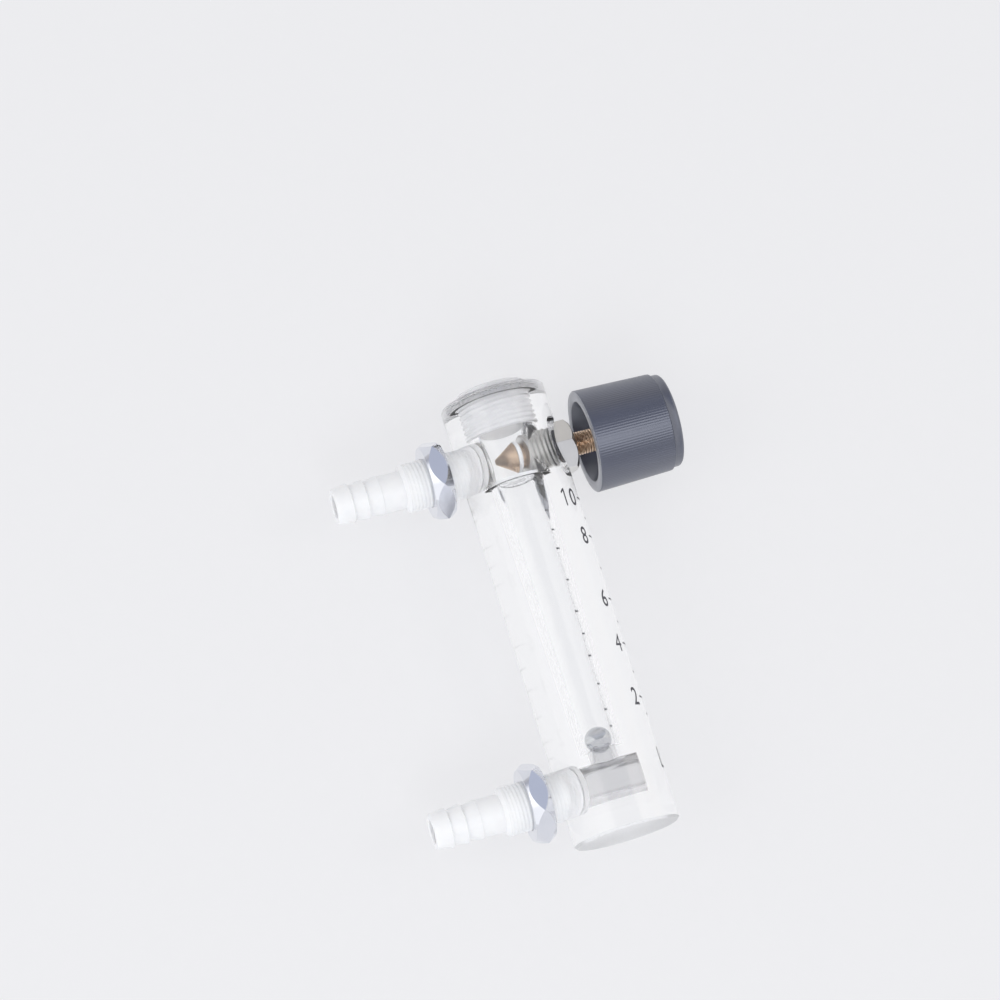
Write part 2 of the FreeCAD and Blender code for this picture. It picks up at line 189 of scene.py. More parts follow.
# %% [markdown]
# ## Finishes of the clear and white plastics
#
# Polished acrylic is almost nothing but refraction: index 1.49, no colour.  What
# tells the eye that it is a real bar is the contrast with the walls that a drill or a
# lathe tool has left frosted.  The top plug is turned too, so it is hazy.  Nylon is a
# milky white that light enters, and moulding leaves it with a faint mottle.

# %% Clear acrylic
ACRYLIC_INDEX = 1.49


def clear_acrylic():
    finish = Finish("polished_acrylic")
    drawn = finish.cloud(2.4, (1, 1, 0.06))
    return finish.coat(
        Base_Color=finish.tint(drawn, (0.985, 0.99, 0.99), (1.0, 1.0, 1.0)),
        Roughness=finish.between(finish.cloud(4.0), 0.0, 0.012), IOR=ACRYLIC_INDEX,
        Transmission_Weight=0.97)


def frosted_acrylic(name, gloss, clear, milky):
    """Acrylic that a tool has cut: rough, partly see-through, a share of it milky."""
    finish = Finish(name)
    cut = finish.cloud(0.3)
    frost = finish.principled(
        Base_Color=finish.tint(cut, (0.93, 0.93, 0.945), (0.98, 0.98, 0.985)),
        Roughness=finish.between(cut, *gloss), IOR=ACRYLIC_INDEX,
        Transmission_Weight=clear, Normal=finish.bump(cut, 0.004))
    milk = finish.add("BsdfTranslucent", {}, {
        "Color": finish.tint(cut, (0.60, 0.60, 0.615), (0.67, 0.67, 0.68))})
    finish.add_output(finish.add("MixShader", {}, {
        0: milky * (0.8 + 0.4 * cut), 1: frost, 2: milk}))
    return finish.material


def turned_acrylic():
    finish = Finish("turned_acrylic")
    lathe = finish.cloud(0.25, (0.02, 0.02, 1))
    return finish.coat(
        Base_Color=finish.tint(lathe, (0.93, 0.935, 0.95), (0.98, 0.98, 0.99)),
        Roughness=finish.between(lathe, 0.16, 0.30), IOR=ACRYLIC_INDEX,
        Transmission_Weight=0.25, Normal=finish.bump(lathe, 0.008))


# %% White nylon, stop ring and seals
def white_nylon():
    finish = Finish("moulded_nylon")
    mottle = finish.cloud(2.2, detail=5.0)
    grain = finish.cloud(0.18)
    return finish.coat(
        Base_Color=finish.tint(mottle, (0.86, 0.86, 0.875), (0.93, 0.93, 0.935)),
        Roughness=finish.between(grain, 0.34, 0.5), IOR=1.53,
        Subsurface_Weight=0.35, Subsurface_Scale=0.0012,
        Subsurface_Radius=(1.0, 0.95, 0.9), Normal=finish.bump(grain, 0.006))


def stop_plastic():
    finish = Finish("acetal_stop")
    grain = finish.cloud(0.4)
    return finish.coat(
        Base_Color=finish.tint(grain, (0.80, 0.81, 0.82), (0.88, 0.88, 0.89)),
        Roughness=finish.between(grain, 0.35, 0.5), Normal=finish.bump(grain, 0.004))


def clear_rubber():
    finish = Finish("silicone_seal")
    grain = finish.cloud(0.5)
    return finish.coat(
        Base_Color=finish.tint(grain, (0.90, 0.90, 0.91), (0.96, 0.96, 0.96)),
        Roughness=finish.between(grain, 0.3, 0.45), IOR=1.41,
        Transmission_Weight=0.25, Normal=finish.bump(grain, 0.01))


def dark_rubber():
    finish = Finish("nitrile_washer")
    grain = finish.cloud(0.3, detail=5.0)
    return finish.coat(
        Base_Color=finish.tint(grain, (0.012, 0.012, 0.018), (0.035, 0.035, 0.05)),
        Roughness=finish.between(grain, 0.4, 0.62), Normal=finish.bump(grain, 0.02))


# %% [markdown]
# ## Finishes of the metals, the knob and the ink
#
# A metal is told by how it blurs what it mirrors.  Chrome plating is nearly sharp with
# faint wipe marks, the bonnet's nickel is satin, turned brass carries rings from the
# lathe, and a bearing ball is a perfect mirror with a few specks.  Marks made by a tool
# run round the part's axis, so their noise is stretched along that direction.

# %% Plated and turned metals
def metal(name, dark, light, gloss, marks, depth, stretch=(1, 1, 1)):
    """Bare metal: two near colours, a range of roughness, and tool marks of a size."""
    finish = Finish(name)
    tool = finish.cloud(marks, stretch, detail=4.0)
    smear = finish.cloud(6.0, detail=4.0)
    return finish.coat(
        Base_Color=finish.tint(smear, dark, light), Metallic=1.0,
        Roughness=finish.between(0.6 * tool + 0.4 * smear, *gloss),
        Normal=finish.bump(tool, depth))


FINISH = {
    "acrylic": clear_acrylic(),
    "drilled": frosted_acrylic("drilled_acrylic", (0.16, 0.26), 0.97, 0.20),
    "faced": frosted_acrylic("faced_acrylic", (0.22, 0.36), 0.45, 0.12),
    "counterbored": frosted_acrylic("counterbored_acrylic", (0.22, 0.36), 0.92, 0.40),
    "plug": turned_acrylic(), "nylon": white_nylon(),
    "stop": stop_plastic(), "seal": clear_rubber(), "washer": dark_rubber(),
    "chrome": metal("bright_chrome", (0.66, 0.68, 0.73), (0.76, 0.77, 0.81),
                    (0.05, 0.16), 0.5, 0.002, (1, 0.1, 1)),
    "nickel": metal("satin_nickel", (0.62, 0.615, 0.60), (0.72, 0.71, 0.69),
                    (0.24, 0.38), 0.12, 0.003, (0.08, 1, 1)),
    "brass": metal("turned_brass", (0.58, 0.41, 0.28), (0.72, 0.55, 0.41),
                   (0.20, 0.36), 0.14, 0.004, (1, 0.05, 0.05)),
    "steel": metal("bearing_steel", (0.56, 0.57, 0.59), (0.64, 0.65, 0.67),
                   (0.01, 0.05), 0.8, 0.0006),
}


# %% Knob plastic and scale ink
RIM_HIGHLIGHT_DEPTH = 0.1         # how deep the painted highlight on the knob's rim reaches


def knob_plastic():
    finish = Finish("phenolic_knob")
    grain = finish.cloud(0.16, detail=5.0)
    wear = finish.cloud(3.5, (0.25, 1, 1), detail=5.0)
    along = finish.add("SeparateXYZ", {}, {0: finish.place()}, output="X")
    # The rim's end face and edge get a light blue-grey base colour below: a painted highlight
    # of the light falling on the rim.
    rim = along.math("LESS_THAN", along, (span("knob", X)[0] + RIM_HIGHLIGHT_DEPTH) * MM)
    moulded = finish.tint(wear, (0.032, 0.036, 0.056), (0.050, 0.056, 0.084))
    return finish.coat(
        Base_Color=finish.add("Mix", {"data_type": "RGBA"}, {
            "Factor": rim, 6: moulded, 7: rgba((0.26, 0.265, 0.29))}, output=2),
        Roughness=finish.between(0.5 * grain + 0.5 * wear, 0.24, 0.36),
        IOR=1.85, Specular_IOR_Level=0.75, Specular_Tint=rgba((0.88, 0.91, 1.0)),
        Normal=finish.bump(grain, 0.008))


def scale_ink():
    finish = Finish("scale_ink")
    patch = finish.cloud(0.3, detail=4.0)
    return finish.coat(
        Base_Color=finish.tint(patch, (0.035, 0.035, 0.045), (0.09, 0.09, 0.105)),
        Roughness=finish.between(patch, 0.45, 0.65), Normal=finish.bump(patch, 0.004))


FINISH["knob"] = knob_plastic()
FINISH["ink"] = scale_ink()
print("finishes:", ", ".join(sorted(FINISH)))

# %% [markdown]
# ## Turning on a lathe, threads included
#
# Nearly every piece here is turned.  One function spins a line of (along, radius) points
# about an axis.  A thread is the same surface with its radius rising and falling along a
# helix, so the function also takes stretches that are threaded.  The rounded ridges
# come from a cosine, and they fade at both ends as a real thread runs out.

# %% The lathe
SMOOTH_BELOW = 32.0     # degrees: edges sharper than this stay sharp
RUN_OUT = 0.6           # share of a pitch over which a thread fades at each end


def threaded(start, end, pitch, depth):
    """A stretch of thread cut `depth` into the radius."""
    return {"start": start, "end": end, "pitch": pitch, "depth": depth}


def sample_line(line, threads, step):
    """The outline's points, with close ones added wherever a thread is cut."""
    points = [line[0]]
    for (a, ra), (b, rb) in zip(line, line[1:]):
        cut = next((t for t in threads if abs(ra - rb) < 1e-9
                    and min(a, b) < t["end"] and max(a, b) > t["start"]), None)
        count = max(1, round(abs(b - a) / step)) if cut else 1
        points += [(a + (b - a) * i / count, ra + (rb - ra) * i / count)
                   for i in range(1, count + 1)]
    return points


def thread_dip(along, turn, threads):
    """How far the thread lowers the radius at a place along and round the axis."""
    dip = 0.0
    for cut in threads:
        if cut["start"] < along < cut["end"]:
            phase = 2 * math.pi * (along / cut["pitch"]) - turn
            edge = min(along - cut["start"], cut["end"] - along) / (RUN_OUT * cut["pitch"])
            dip += cut["depth"] * (0.5 - 0.5 * math.cos(phase)) * min(1.0, edge)
    return dip


def skin(mesh, pairs, around):
    """Faces between pairs of rings; a ring of one point closes a piece on its axis."""
    for low, high in pairs:
        for i in range(around):
            corners = list(dict.fromkeys([
                low[i % len(low)], low[(i + 1) % len(low)],
                high[(i + 1) % len(high)], high[i % len(high)]]))
            if len(corners) > 2:
                mesh.faces.new(corners)


def turn_piece(name, line, axis, centre, threads=(), around=128, step=0.1):
    """Spin a line of (along, radius) points in millimetres about the X or Z axis."""
    points = sample_line(line, threads, step)
    mesh = bmesh.new()
    rings = []
    for along, radius in points:
        ring = []
        for i in range(around if radius > 1e-6 else 1):
            turn = 2 * math.pi * i / around
            r = radius - thread_dip(along, turn, threads)
            c, s = r * math.cos(turn), r * math.sin(turn)
            spot = (along, c, s) if axis == "X" else (c, s, along)
            ring.append(mesh.verts.new((Vector(spot) + Vector(centre)) * MM))
        rings.append(ring)
    pairs = list(zip(rings, rings[1:]))
    if len(rings[0]) > 1 or len(rings[-1]) > 1:
        pairs.append((rings[-1], rings[0]))
    skin(mesh, pairs, around)
    bmesh.ops.recalc_face_normals(mesh, faces=mesh.faces)
    return to_object(name, mesh)


def to_object(name, mesh, smooth_below=SMOOTH_BELOW):
    """A bmesh as an object: smooth, but for edges sharper than an angle in degrees."""
    data = bpy.data.meshes.new(name)
    mesh.to_mesh(data)
    mesh.free()
    data.shade_smooth()
    data.set_sharp_from_angle(angle=math.radians(smooth_below))
    piece = bpy.data.objects.new(name, data)
    bpy.context.scene.collection.objects.link(piece)
    return piece


def carve(piece, *cutters, operation="DIFFERENCE"):
    """Cut closed tools out of a piece, then throw the tools away."""
    for cutter in cutters:
        step = piece.modifiers.new("carve", "BOOLEAN")
        step.object, step.operation, step.solver = cutter, operation, "EXACT"
        graph = bpy.context.evaluated_depsgraph_get()
        cut = bpy.data.meshes.new_from_object(piece.evaluated_get(graph))
        piece.modifiers.clear()
        piece.data = cut
        bpy.data.objects.remove(cutter)
    piece.data.shade_smooth()
    piece.data.set_sharp_from_angle(angle=math.radians(SMOOTH_BELOW))
    return piece


def settle(piece, finish, body, slot, *nodes):
    """Give a piece its finish, its body to ride on, and the nodes that it stands for."""
    piece.data.materials.clear()
    piece.data.materials.append(FINISH[finish])
    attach(piece, body)
    if nodes:
        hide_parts(*nodes)
    print("%-16s %6d faces" % (piece.name, len(piece.data.polygons)))
    return piece


# %% [markdown]
# ## Measures that the pieces share
#
# The frame gives the box of each node.  The heights of the two ports, the bar's radius
# and the faces of its fittings are read from there, in millimetres.

# %% Shared measures
BAR_RADIUS = span("flow_body", Y)[1]
BAR_TOP = span("flow_body", Z)[1]
OUTLET = sum(span("outlet_fitting", Z)) / 2
INLET = sum(span("inlet_fitting", Z)) / 2
PORT_FLOOR = span("outlet_fitting", X)[1]
THREAD_RADIUS = span("outlet_fitting", Z)[1] - OUTLET
STOP_FLOOR = span("float_stop", Z)[0]
BALL_LOW, BALL_HIGH = span("float_ball", Z)
BALL_RADIUS = (BALL_HIGH - BALL_LOW) / 2
BONNET_RADIUS = 5.0     # outside of the bonnet's thread
BITE = 0.5              # how far each thread bites into the bar
print("ports at", round(INLET, 2), "and", round(OUTLET, 2), "mm, bar radius", BAR_RADIUS)

# %% [markdown]
# ## The clear bar
#
# The bar is one block of acrylic with a float bore that widens towards the top, a wider
# chamber above it, and holes drilled across for the two ports, the orifice and the
# bonnet.  Tapped holes are cut at the root of their thread, so that each screwed piece
# bites into the acrylic with no film of air.
# Refraction shows every facet, so the block and its cutting tools are turned finely and
# joined with exact booleans; then the normals are worked out from the true cylinders and
# cones instead of from the facets.

# %% The bar and its bores
THROAT, BORE_LOW, BORE_TOP, CHAMBER = 2.3, 3.5, 4.4, 5.6
BALL_GAP = 0.05         # room between the resting ball and its seat
SEAT = BALL_LOW + BALL_RADIUS - math.sqrt(BALL_RADIUS ** 2 - THROAT ** 2) - BALL_GAP
PLUG_FLOOR = span("top_plug", Z)[0]
RING_FLOOR = span("top_plug_seal", Z)[0]
SPOTFACE = span("bonnet_washer", X)[0]
BAR_CHAMFER = 0.6
PLUG_RADIUS = 6.0
RECESS_RADIUS = 7.6
PORT = THREAD_RADIUS - BITE
INLET_CHAMBER, INLET_END = 4.8, 5.2
ORIFICE = 2.4
SPOTFACE_RADIUS = 7.8
OVERCUT = 2.0           # tools reach this far past the bar
OVERLAP = 0.3           # and this far into the hole before them
FINE = 256

bar = turn_piece("clear_bar", [
    (0, 0), (0, BAR_RADIUS - BAR_CHAMFER), (BAR_CHAMFER, BAR_RADIUS),
    (BAR_TOP - BAR_CHAMFER, BAR_RADIUS), (BAR_TOP, BAR_RADIUS - BAR_CHAMFER),
    (BAR_TOP, 0)], "Z", (0, 0, 0), around=FINE)
float_bore = turn_piece("float_bore", [
    (INLET, 0), (INLET, THROAT), (SEAT, THROAT), (SEAT, BORE_LOW), (STOP_FLOOR, BORE_TOP),
    (STOP_FLOOR, CHAMBER), (PLUG_FLOOR, CHAMBER), (PLUG_FLOOR, PLUG_RADIUS - BITE),
    (RING_FLOOR, PLUG_RADIUS - BITE), (RING_FLOOR, RECESS_RADIUS),
    (BAR_TOP + 1, RECESS_RADIUS), (BAR_TOP + 1, 0)], "Z", (0, 0, 0), around=FINE)


def cross_hole(name, start, end, radius, height):
    return turn_piece(name, [(start, 0), (start, radius), (end, radius), (end, 0)],
                      "X", (0, 0, height), around=160)


OUTSIDE = BAR_RADIUS + OVERCUT
carve(bar, float_bore,
      cross_hole("outlet_port", -OUTSIDE, PORT_FLOOR, PORT, OUTLET),
      cross_hole("inlet_port", -OUTSIDE, PORT_FLOOR, PORT, INLET),
      cross_hole("inlet_chamber", PORT_FLOOR - OVERLAP, INLET_END, INLET_CHAMBER, INLET),
      cross_hole("orifice", PORT_FLOOR - OVERLAP, 0, ORIFICE, OUTLET),
      cross_hole("bonnet_hole", 0, OUTSIDE, BONNET_RADIUS - BITE, OUTLET),
      cross_hole("spotface", SPOTFACE, OUTSIDE, SPOTFACE_RADIUS, OUTLET))

# %% True normals for the bar
SAME = 0.995            # cosine above which two directions count as one
WIDEST_HOLE = 8.2


def exact_normal(flat, middle):
    """What gives a face its exact normal at a point, or None where there is none."""
    if abs(flat.z) > 0.9999 or abs(flat.x) > 0.9999:
        return lambda point: flat
    radial = Vector((middle.x, middle.y, 0)).normalized()
    if abs(flat.z) < 0.03 and abs(flat.dot(radial)) > SAME:
        side = math.copysign(1, flat.dot(radial))
        return lambda point: (Vector((point.x, point.y, 0)).normalized() * side
                              + Vector((0, 0, flat.z))).normalized()
    if abs(flat.x) < 1e-3:
        for height in (OUTLET * MM, INLET * MM):
            out = Vector((0, middle.y, middle.z - height))
            if out.length < WIDEST_HOLE * MM and abs(flat.dot(out.normalized())) > SAME:
                side = math.copysign(1, flat.dot(out))
                return lambda point: Vector((0, point.y, point.z - height)).normalized() * side
    return None


def true_normals(piece):
    """Corner normals from the exact surfaces: cylinders on Z, cones, cross holes, flats."""
    mesh = piece.data
    normals = []
    for face in mesh.polygons:
        exact = exact_normal(face.normal.copy(), face.center)
        for corner in face.loop_indices:
            point = mesh.vertices[mesh.loops[corner].vertex_index].co
            normals.append(exact(point) if exact else Vector((0, 0, 0)))
    mesh.normals_split_custom_set(normals)
    return sum(1 for n in normals if n.length > 0) / len(normals)


# %% Polished and cut walls
CUT_WALLS = ("drilled", "faced", "counterbored")
NEAR = 0.02             # what lies this close to a surface counts as on it


def wall_finish(face):
    """0 polished, 1 drilled, 2 faced, 3 counterbored: by where the face lies, in mm."""
    x, y, z = face.center / MM
    if abs(math.hypot(x, y) - BAR_RADIUS) < NEAR and abs(face.normal.z) < 0.1:
        return 0
    if z < BAR_CHAMFER:
        return 2
    if z > PLUG_FLOOR + 0.1:
        return 3
    return 1 if z < SEAT - NEAR else 0


share = true_normals(bar)
settle(bar, "acrylic", "meter", "clear_acrylic", "flow_body")
for finish in CUT_WALLS:
    bar.data.materials.append(FINISH[finish])
for face in bar.data.polygons:
    face.material_index = wall_finish(face)
print("faces of each wall finish:", [
    sum(1 for face in bar.data.polygons if face.material_index == i) for i in range(4)])
print("corners with a true normal: %.0f%%" % (100 * share))

# %% [markdown]
# ## The top plug
#
# A turned acrylic plug closes the bore.  Its slot takes a coin or a wide screwdriver,
# and its thread shows through the bar as pale arcs, so the thread is real geometry.

# %% The plug and its slot
PLUG_TOP = span("top_plug", Z)[1]
HEAD_RADIUS = span("top_plug", X)[1]
HEAD_FLOOR = BAR_TOP - 0.03     # sunk a hair, so that no two faces share a plane
PLUG_EDGE = 0.4
PLUG_PITCH, PLUG_THREAD = 1.25, 0.34
SLOT_TURN, SLOT_LENGTH, SLOT_WIDTH, SLOT_DEPTH = -36.0, 30.0, 1.8, 1.2
plug = turn_piece("plug", [
    (PLUG_FLOOR, 0), (PLUG_FLOOR, PLUG_RADIUS - PLUG_EDGE),
    (PLUG_FLOOR + PLUG_EDGE, PLUG_RADIUS), (HEAD_FLOOR, PLUG_RADIUS),
    (HEAD_FLOOR, HEAD_RADIUS), (PLUG_TOP - PLUG_EDGE, HEAD_RADIUS),
    (PLUG_TOP, HEAD_RADIUS - PLUG_EDGE), (PLUG_TOP, 0)], "Z", (0, 0, 0), around=160,
    threads=[threaded(PLUG_FLOOR + 0.5, RING_FLOOR - 0.1, PLUG_PITCH, PLUG_THREAD)])
slot = bmesh.new()
bmesh.ops.create_cube(slot, size=1.0)
slot.transform(Matrix.Translation((0, 0, PLUG_TOP * MM))
               @ Matrix.Rotation(math.radians(SLOT_TURN), 4, "Z")
               @ Matrix.Diagonal((SLOT_LENGTH * MM, SLOT_WIDTH * MM, 2 * SLOT_DEPTH * MM, 1)))
carve(plug, to_object("slot_tool", slot))
settle(plug, "plug", "meter", "plug_acrylic", "top_plug")

# %% [markdown]
# ## The ball
#
# The float is a bearing ball.  It is a finely divided sphere, since a mirror shows the
# facets that a matt surface would hide.

# %% The ball
sphere = bmesh.new()
bmesh.ops.create_uvsphere(sphere, u_segments=96, v_segments=64, radius=BALL_RADIUS * MM)
sphere.transform(Matrix.Translation((0, 0, (BALL_LOW + BALL_RADIUS) * MM)))
settle(to_object("ball", sphere), "steel", "float", "ball_steel", "float_ball")

# %% [markdown]
# ## Hose fittings
#
# Two moulded nylon fittings screw into the side of the bar opposite the knob.  Each is
# spun from one outline, with a long thread for the panel nut, three soft barbs for the
# hose and a through bore.  One function makes both, since they differ only in height.

# %% Hose fittings
FITTING_BORE = 2.8
FITTING_NOSE = 4.65
SEAL_ROOM = 1.2         # the nose stands this far past the thread, to fill the seal
LEAD, LEAD_RADIUS = 0.6, 5.4            # chamfer at the thread's inner end
THREAD_EDGE = 0.8       # and at its outer end
FITTING_PITCH, FITTING_THREAD = 0.9, 0.11
BARB_LENGTH = 17.0      # from the tip to the end of the thread
NECK_RADIUS, NECK_LENGTH = 4.65, 5.5
BARB_PITCH, BARB_ROOT, BARB_CREST, BARB_TIP = 3.7, 4.2, 4.85, 4.3


def barbs(tip, first):
    """Outline of three barbs, each with a rounded crest."""
    line = []
    for i in range(3):
        back = first - i * BARB_PITCH
        if i:
            line.append((back + 0.15, BARB_ROOT))
        line += [(back, BARB_CREST - 0.12), (back - 0.12, BARB_CREST),
                 (back - 0.4, BARB_CREST - 0.02)]
    return line + [(tip + 0.25, BARB_TIP), (tip, BARB_TIP - 0.2)]


def make_fitting(name, node, height):
    tip, nose = span(node, X)
    shoulder = nose - SEAL_ROOM
    thread_end = tip + BARB_LENGTH
    first_barb = thread_end - NECK_LENGTH
    line = [(nose, FITTING_BORE), (nose, FITTING_NOSE), (shoulder, FITTING_NOSE),
            (shoulder, LEAD_RADIUS), (shoulder - LEAD, THREAD_RADIUS),
            (thread_end + THREAD_EDGE, THREAD_RADIUS),
            (thread_end, THREAD_RADIUS - THREAD_EDGE), (thread_end, NECK_RADIUS),
            (first_barb, NECK_RADIUS)]
    line += barbs(tip, first_barb)
    line += [(tip, FITTING_BORE + 0.2), (tip + 0.2, FITTING_BORE)]
    thread = threaded(thread_end + THREAD_EDGE, shoulder - LEAD, FITTING_PITCH, FITTING_THREAD)
    piece = turn_piece(name, line, "X", (0, 0, height), around=112, step=0.12,
                       threads=[thread])
    return settle(piece, "nylon", "meter", "white_nylon", node)


make_fitting("upper_fitting", "outlet_fitting", OUTLET)
make_fitting("lower_fitting", "inlet_fitting", INLET)

# %% [markdown]
# ## Valve bonnet
#
# The bonnet guides the stem.  It is a threaded sleeve with a hexagon for a wrench, and
# the hexagon's outer end is turned down to a cone.  Keeping only what a turned tool and
# the hexagon share gives the curved edges that a lathe leaves on each flat.

# %% Valve bonnet
BONNET_LOW, BONNET_HIGH = span("valve_bonnet", X)
HEX_START = span("bonnet_washer", X)[1]
HEX_CORNER = 12.0 / math.sqrt(3)        # 12 mm across the flats
CONE_START, CONE_END = 1.0, 5.8         # length of the turned nose, radius of its end
STEM_HOLE = 2.95
SLEEVE_EDGE = 0.4
BONNET_PITCH, BONNET_THREAD = 1.0, 0.25


def hexagon(name, start, end, corner, height):
    """A hexagon bar along X with a corner towards each side."""
    mesh = bmesh.new()
    corners = [(corner * math.cos(math.radians(60 * i)),
                corner * math.sin(math.radians(60 * i))) for i in range(6)]
    base = [mesh.verts.new((start * MM, y * MM, (height + z) * MM)) for y, z in corners]
    floor = mesh.faces.new(base)
    top = bmesh.ops.extrude_face_region(mesh, geom=[floor])["geom"]
    bmesh.ops.translate(mesh, vec=((end - start) * MM, 0, 0),
                        verts=[v for v in top if isinstance(v, bmesh.types.BMVert)])
    bmesh.ops.recalc_face_normals(mesh, faces=mesh.faces)
    bmesh.ops.bevel(mesh, geom=mesh.edges[:], offset=0.06 * MM, segments=2, affect="EDGES")
    return to_object(name, mesh)


bonnet = hexagon("bonnet_hex", HEX_START, BONNET_HIGH, HEX_CORNER, OUTLET)
carve(bonnet, turn_piece("nose_tool", [
    (HEX_START - 1, 0), (HEX_START - 1, HEX_CORNER + 1),
    (BONNET_HIGH - CONE_START, HEX_CORNER + 0.02), (BONNET_HIGH, CONE_END),
    (BONNET_HIGH, 0)], "X", (0, 0, OUTLET)), operation="INTERSECT")
carve(bonnet, turn_piece("stem_hole", [
    (HEX_START - 2, 0), (HEX_START - 2, STEM_HOLE), (BONNET_HIGH + 1, STEM_HOLE),
    (BONNET_HIGH + 1, 0)], "X", (0, 0, OUTLET)))
settle(bonnet, "nickel", "meter", "bonnet_nickel", "valve_bonnet")
sleeve = turn_piece("bonnet_thread", [
    (BONNET_LOW, STEM_HOLE), (BONNET_LOW, BONNET_RADIUS - SLEEVE_EDGE),
    (BONNET_LOW + SLEEVE_EDGE, BONNET_RADIUS), (HEX_START, BONNET_RADIUS),
    (HEX_START, STEM_HOLE)], "X", (0, 0, OUTLET), around=112, step=0.08,
    threads=[threaded(BONNET_LOW + SLEEVE_EDGE, HEX_START - SLEEVE_EDGE,
                      BONNET_PITCH, BONNET_THREAD)])
settle(sleeve, "nickel", "meter", "bonnet_nickel")

# %% [markdown]
# ## Needle, collar and stem
#
# The needle's cone closes the orifice as the stem is screwed in.  Cone and stem are one
# turned piece, with a fine thread on the stem, and a white collar sits behind the cone.

# %% Needle, collar and stem
TIP, STEM_END = span("needle_stem", X)
NEEDLE_BASE = TIP + 5.3
CONE_RADIUS, GROOVE_RADIUS, STEM_RADIUS = 3.70, 3.2, 2.9
STEM_THREAD_START = 8.0
STEM_PITCH, STEM_THREAD = 0.635, 0.24
COLLAR_BORE, COLLAR_RADIUS, COLLAR_EDGE = 3.15, 3.86, 0.1
COLLAR_BACK, COLLAR_FRONT = NEEDLE_BASE - 0.4, NEEDLE_BASE + 0.5
needle = turn_piece("needle", [
    (TIP, 0), (TIP, 0.55), (TIP + 0.1, 0.68), (NEEDLE_BASE - 0.55, CONE_RADIUS),
    (NEEDLE_BASE - 0.45, CONE_RADIUS), (NEEDLE_BASE - 0.45, GROOVE_RADIUS),
    (NEEDLE_BASE + 1.0, GROOVE_RADIUS), (NEEDLE_BASE + 1.0, STEM_RADIUS),
    (STEM_END, STEM_RADIUS), (STEM_END, 0)], "X", (0, 0, OUTLET), around=112, step=0.06,
    threads=[threaded(STEM_THREAD_START, STEM_END - 1, STEM_PITCH, STEM_THREAD)])
settle(needle, "brass", "needle", "stem_brass", "needle_stem")
collar = turn_piece("needle_collar", [
    (COLLAR_BACK, COLLAR_BORE), (COLLAR_BACK, COLLAR_RADIUS - COLLAR_EDGE),
    (COLLAR_BACK + COLLAR_EDGE, COLLAR_RADIUS), (COLLAR_FRONT - COLLAR_EDGE, COLLAR_RADIUS),
    (COLLAR_FRONT, COLLAR_RADIUS - COLLAR_EDGE), (COLLAR_FRONT, COLLAR_BORE),
], "X", (0, 0, OUTLET), around=112)
settle(collar, "stop", "needle", "stem_brass")

# %% [markdown]
# ## The knob
#
# The knob is an open cup with a hub.  Its grip has fine straight ridges, which are
# made here by letting the radius rise and fall round the axis instead of along it.

# %% Knob with its ridges
RIM, FACE = span("knob", X)
RIM_RADIUS = span("knob", Z)[1] - OUTLET
GRIP_END = RIM + 19.3
RIDGES, RIDGE_DEPTH = 120, 0.035
RIDGE_START = RIM + 0.25
RIDGED_FROM = 11.4      # radius below which the knob stays smooth
CUP_RADIUS, CUP_FLOOR = 9.9, RIM + 17.0
HUB_RADIUS, HUB_FACE = 5.8, RIM + 4.8
BUSH_RADIUS, BUSH_FLOOR = 4.3, RIM + 15.1
SOFTENED = 0.2          # chamfer on the rim's and the hub's inner edges


def knob_radius(along, radius, turn):
    """Ridges between the rim and the smooth band, fading over a short run-out."""
    if not RIDGE_START < along < GRIP_END or radius < RIDGED_FROM:
        return radius
    fade = min(1.0, (along - RIDGE_START) / 0.3)
    return radius - RIDGE_DEPTH * fade * (0.5 - 0.5 * math.cos(RIDGES * turn)) ** 0.8


def make_knob():
    inside = [(BUSH_FLOOR, 0), (BUSH_FLOOR, BUSH_RADIUS), (HUB_FACE, BUSH_RADIUS),
              (HUB_FACE, HUB_RADIUS - SOFTENED), (HUB_FACE + SOFTENED, HUB_RADIUS),
              (CUP_FLOOR, HUB_RADIUS), (CUP_FLOOR, CUP_RADIUS)]
    outside = [(RIM + SOFTENED, CUP_RADIUS), (RIM, CUP_RADIUS + SOFTENED),
               (RIM, RIM_RADIUS - 0.25), (RIM + 0.26, RIM_RADIUS - 0.02),
               (RIM + 0.6, RIM_RADIUS - 0.03), (GRIP_END - 0.5, 12.1),
               (GRIP_END - 0.12, 12.05), (GRIP_END, 11.8), (GRIP_END + 0.25, 11.52),
               (FACE - 1.1, 11.5), (FACE - 0.75, 11.4), (FACE - 0.45, 11.1),
               (FACE - 0.3, 10.7), (FACE, 5.75), (FACE, 0)]
    around = RIDGES * 8
    mesh = bmesh.new()
    rings = []
    for along, radius in inside + outside:
        ring = []
        for i in range(around if radius else 1):
            turn = 2 * math.pi * i / around
            r = knob_radius(along, radius, turn)
            spot = Vector((along, r * math.cos(turn), r * math.sin(turn)))
            ring.append(mesh.verts.new((spot + Vector((0, 0, OUTLET))) * MM))
        rings.append(ring)
    skin(mesh, zip(rings, rings[1:]), around)
    bmesh.ops.recalc_face_normals(mesh, faces=mesh.faces)
    return to_object("grip_knob", mesh, 50.0)


settle(make_knob(), "knob", "knob", "knob_plastic", "knob")

# %% [markdown]
# ## Pieces that keep their engineering shape
#
# Nuts, seals, the stop and the brass insert are already right.  They only need their
# finish, and the nuts a tiny rounding so that their corners catch the light.

